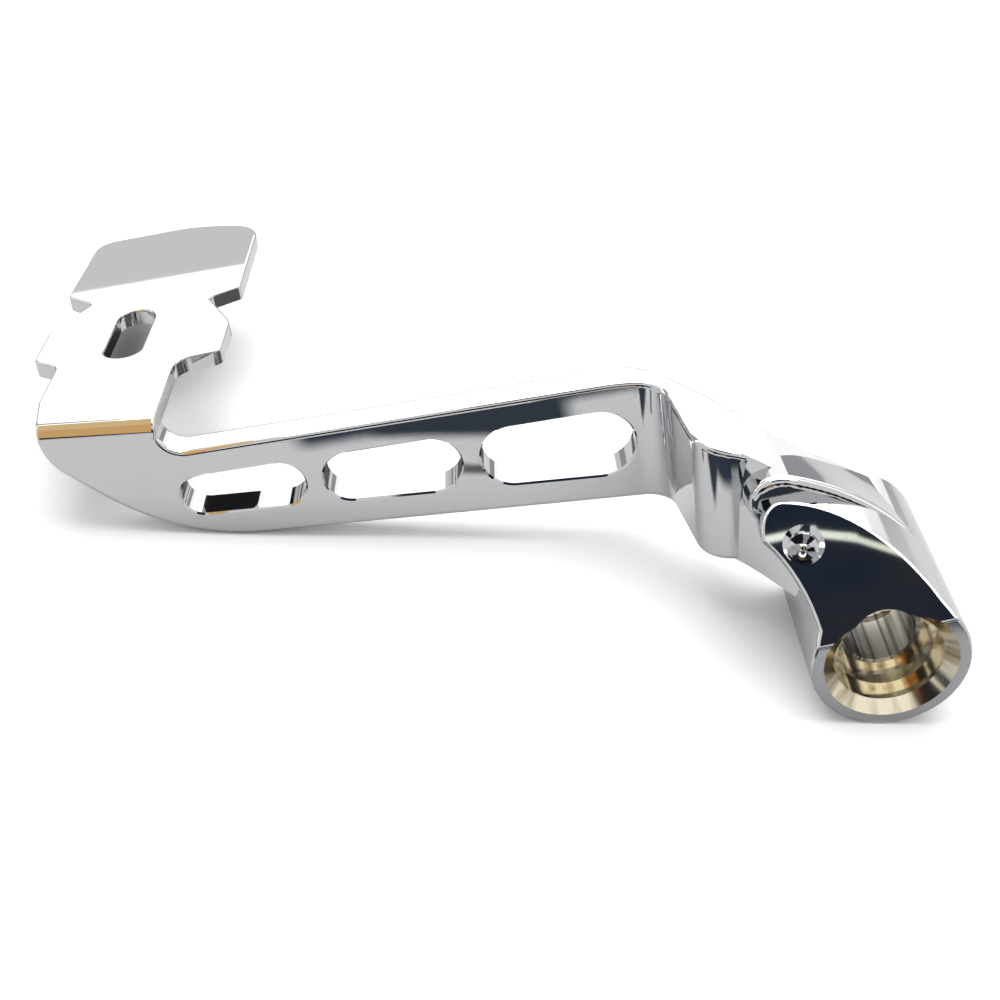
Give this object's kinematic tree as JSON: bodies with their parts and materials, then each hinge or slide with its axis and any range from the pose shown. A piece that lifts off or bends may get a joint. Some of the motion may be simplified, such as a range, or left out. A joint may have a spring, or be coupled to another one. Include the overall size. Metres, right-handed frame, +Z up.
{
  "type": "rear brake pedal",
  "caption": "Chromed rear brake pedal: notched flat pad with a slot, deep slotted arm with a sideways step, and a bushed pivot barrel with a slanted front face.",
  "frame": {"origin": "middle of the pivot bore, half way along the barrel", "axes": "+Y along the pivot axis towards the side the pad stands out to, -X along the arm towards the pad, +Z up"},
  "size_m": [0.2423, 0.2007, 0.0527],
  "materials": {
    "chrome": "mirror chrome",
    "bush": "bored"
  },
  "bodies": {
    "root": {"pedal_arm": "chrome", "outer_bush": "bush", "inner_bush": "bush"}
  },
  "joints": []
}
